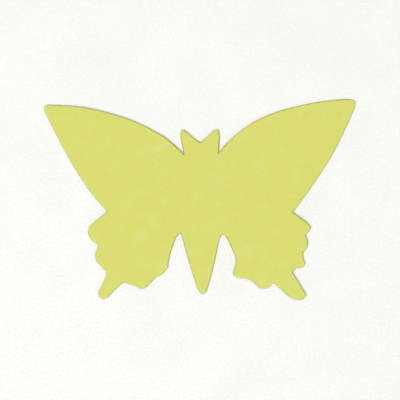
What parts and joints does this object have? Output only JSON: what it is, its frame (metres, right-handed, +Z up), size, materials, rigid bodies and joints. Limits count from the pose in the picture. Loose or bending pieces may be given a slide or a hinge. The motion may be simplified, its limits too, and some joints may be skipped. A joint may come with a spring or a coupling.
{
  "type": "craft punch",
  "caption": "Lever craft punch that cuts a butterfly from card, with a hinged lever, sprung punch and die, storage lock and a butterfly emblem on the lever.",
  "frame": {"origin": "on the table, under the middle of the base", "axes": "+Z up; -Y is the front, where the card goes in; the lever's hinge is at +Y and runs along X"},
  "size_m": [0.0792, 0.105, 0.0559],
  "materials": {
    "white_abs": "moulded, fine satin",
    "lime_abs": "moulded, fine spark texture",
    "lime_soft_touch": "matte soft-touch elastomer",
    "grey_pom": "moulded, satin",
    "natural_nylon": "machined nylon",
    "foot_rubber": "matte",
    "tool_steel": "ground",
    "sheet_steel": "rolled and zinc plated",
    "bright_steel": "ground and polished",
    "black_steel": "black oxide",
    "bushing_brass": "turned"
  },
  "bodies": {
    "base": {"base_tray": "white_abs", "rubber_feet": "foot_rubber", "die_plate": "tool_steel", "gap_spacer": "sheet_steel", "stripper_plate": "tool_steel", "punch_guide": "natural_nylon", "die_set_screws": "black_steel", "guide_post_left": "bright_steel", "guide_post_right": "bright_steel", "post_clips": "black_steel", "spring_seats": "sheet_steel", "return_spring_left": "bright_steel", "return_spring_right": "bright_steel", "housing_shell": "lime_abs", "hinge_bushings": "natural_nylon", "housing_screws": "black_steel", "front_screws": "black_steel"},
    "plunger": {"carrier_plate": "sheet_steel", "male_punch": "tool_steel", "carrier_bushings": "bushing_brass", "thrust_pad": "natural_nylon", "punch_screws": "black_steel"},
    "lever": {"lever_cover": "white_abs", "butterfly_inlay": "lime_soft_touch", "lever_frame": "sheet_steel", "hinge_pin": "bright_steel", "hinge_caps": "lime_abs", "roller_pin": "bright_steel", "roller_clips": "black_steel", "lever_screws": "black_steel", "lock_catch": "sheet_steel", "catch_screw": "black_steel", "finger_grip": "lime_soft_touch"},
    "roller": {"thrust_roller": "bright_steel"},
    "lock": {"lock_slider": "grey_pom", "lock_retainer": "sheet_steel", "lock_screw": "black_steel"}
  },
  "joints": [
    {"name": "lever_press", "type": "hinge", "parent": "base", "child": "lever", "pos_m": [0, 0.0355, 0.038], "axis": [1, 0, 0], "range_deg": [0, 8.53], "stiffness_Nm_per_rad": 4, "springref_deg": -14.32},
    {"name": "plunger_travel", "type": "slide", "parent": "base", "child": "plunger", "axis": [0, 0, -1], "range_m": [0, 0.007], "deforming": ["return_spring_left", "return_spring_right"]},
    {"name": "roller_spin", "type": "hinge", "parent": "lever", "child": "roller", "pos_m": [0, -0.0115, 0.04515], "axis": [1, 0, 0], "continuous": true},
    {"name": "lock_slide", "type": "slide", "parent": "base", "child": "lock", "axis": [1, 0, 0], "range_m": [0, 0.008]}
  ],
  "couplings": [
    {"joint": "plunger_travel", "follows": "lever_press", "m_per_rad": 0.047}
  ]
}
